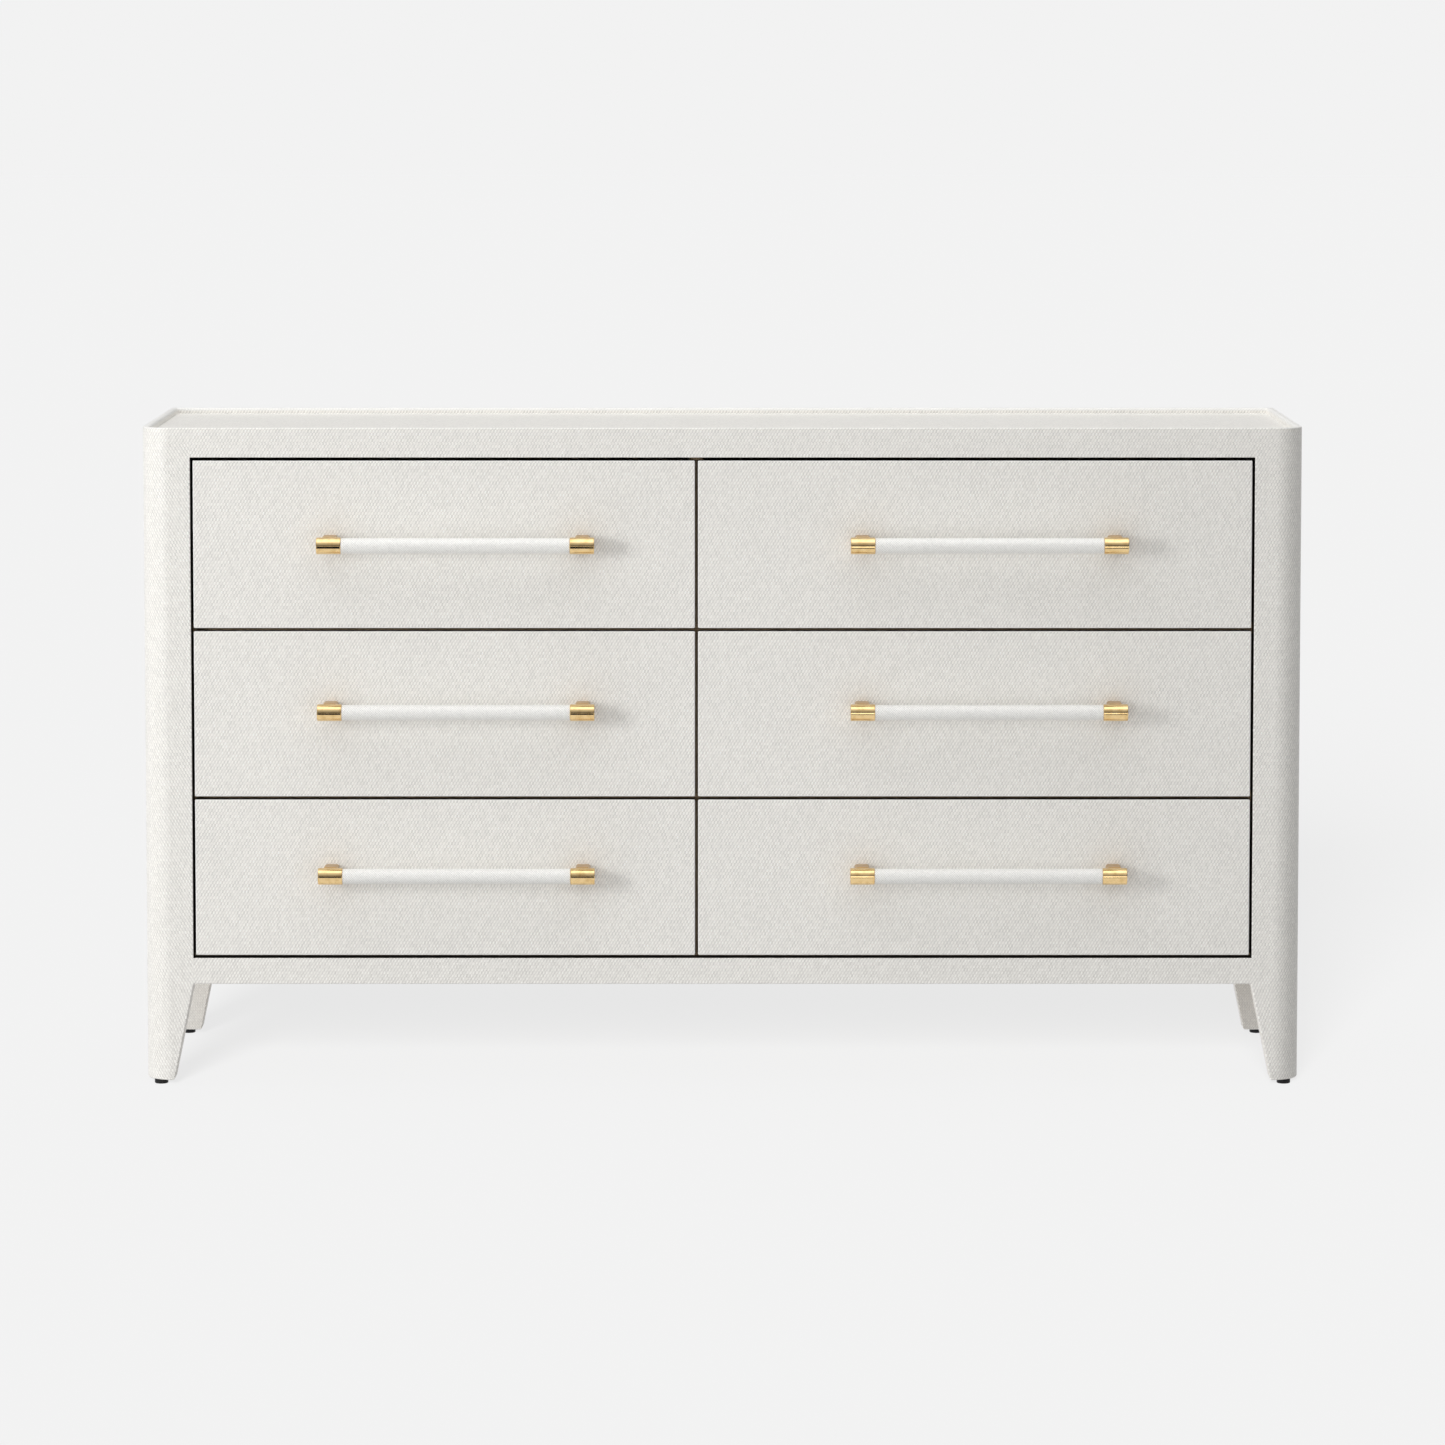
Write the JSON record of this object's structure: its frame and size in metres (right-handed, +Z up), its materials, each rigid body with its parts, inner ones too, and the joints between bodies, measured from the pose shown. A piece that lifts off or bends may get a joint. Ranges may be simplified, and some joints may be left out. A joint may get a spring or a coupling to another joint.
{
  "type": "dresser with drawers",
  "caption": "Wide dresser on tapered legs with a rimmed tray top, cloth-wrapped case, two columns of sliding drawers and wrapped bar handles with brass ends.",
  "frame": {"origin": "on the floor, midway between the two sides and midway between the handles' fronts and the back of the case", "axes": "+X to the right of someone facing the drawers, +Y towards the back, +Z up"},
  "size_m": [1.524, 0.504, 0.87],
  "materials": {
    "wrapped_board": "board wrapped in fine woven cloth and lacquered off-white, satin",
    "handle_wrap": "fine woven cloth sleeve, lacquered off-white, satin",
    "drawer_wood": "clear-lacquered pale wood",
    "carcase_wood": "sanded plywood",
    "brass": "fine-turned satin brass",
    "black_plastic": "moulded black plastic"
  },
  "bodies": {
    "case": {"tray_top": "wrapped_board", "top_front_rail": "wrapped_board", "bottom_front_rail": "wrapped_board", "front_left_post": "wrapped_board", "front_left_glide": "black_plastic", "rear_left_post": "wrapped_board", "rear_left_glide": "black_plastic", "left_side_panel": "wrapped_board", "front_right_post": "wrapped_board", "front_right_glide": "black_plastic", "rear_right_post": "wrapped_board", "rear_right_glide": "black_plastic", "right_side_panel": "wrapped_board", "bottom_panel": "carcase_wood", "upper_dust_panel": "carcase_wood", "lower_dust_panel": "carcase_wood", "centre_partition": "carcase_wood", "back_panel": "wrapped_board"},
    "top_left_drawer": {"top_left_front": "wrapped_board", "top_left_box_left": "drawer_wood", "top_left_box_right": "drawer_wood", "top_left_box_back": "drawer_wood", "top_left_box_bottom": "drawer_wood", "top_left_handle_frame": "brass", "top_left_handle_wrap": "handle_wrap"},
    "top_right_drawer": {"top_right_front": "wrapped_board", "top_right_box_left": "drawer_wood", "top_right_box_right": "drawer_wood", "top_right_box_back": "drawer_wood", "top_right_box_bottom": "drawer_wood", "top_right_handle_frame": "brass", "top_right_handle_wrap": "handle_wrap"},
    "middle_left_drawer": {"middle_left_front": "wrapped_board", "middle_left_box_left": "drawer_wood", "middle_left_box_right": "drawer_wood", "middle_left_box_back": "drawer_wood", "middle_left_box_bottom": "drawer_wood", "middle_left_handle_frame": "brass", "middle_left_handle_wrap": "handle_wrap"},
    "middle_right_drawer": {"middle_right_front": "wrapped_board", "middle_right_box_left": "drawer_wood", "middle_right_box_right": "drawer_wood", "middle_right_box_back": "drawer_wood", "middle_right_box_bottom": "drawer_wood", "middle_right_handle_frame": "brass", "middle_right_handle_wrap": "handle_wrap"},
    "bottom_left_drawer": {"bottom_left_front": "wrapped_board", "bottom_left_box_left": "drawer_wood", "bottom_left_box_right": "drawer_wood", "bottom_left_box_back": "drawer_wood", "bottom_left_box_bottom": "drawer_wood", "bottom_left_handle_frame": "brass", "bottom_left_handle_wrap": "handle_wrap"},
    "bottom_right_drawer": {"bottom_right_front": "wrapped_board", "bottom_right_box_left": "drawer_wood", "bottom_right_box_right": "drawer_wood", "bottom_right_box_back": "drawer_wood", "bottom_right_box_bottom": "drawer_wood", "bottom_right_handle_frame": "brass", "bottom_right_handle_wrap": "handle_wrap"}
  },
  "joints": [
    {"name": "top_left_drawer_slide", "type": "slide", "parent": "case", "child": "top_left_drawer", "axis": [0, -1, 0], "range_m": [0, 0.3]},
    {"name": "top_right_drawer_slide", "type": "slide", "parent": "case", "child": "top_right_drawer", "axis": [0, -1, 0], "range_m": [0, 0.3]},
    {"name": "middle_left_drawer_slide", "type": "slide", "parent": "case", "child": "middle_left_drawer", "axis": [0, -1, 0], "range_m": [0, 0.3]},
    {"name": "middle_right_drawer_slide", "type": "slide", "parent": "case", "child": "middle_right_drawer", "axis": [0, -1, 0], "range_m": [0, 0.3]},
    {"name": "bottom_left_drawer_slide", "type": "slide", "parent": "case", "child": "bottom_left_drawer", "axis": [0, -1, 0], "range_m": [0, 0.3]},
    {"name": "bottom_right_drawer_slide", "type": "slide", "parent": "case", "child": "bottom_right_drawer", "axis": [0, -1, 0], "range_m": [0, 0.3]}
  ]
}
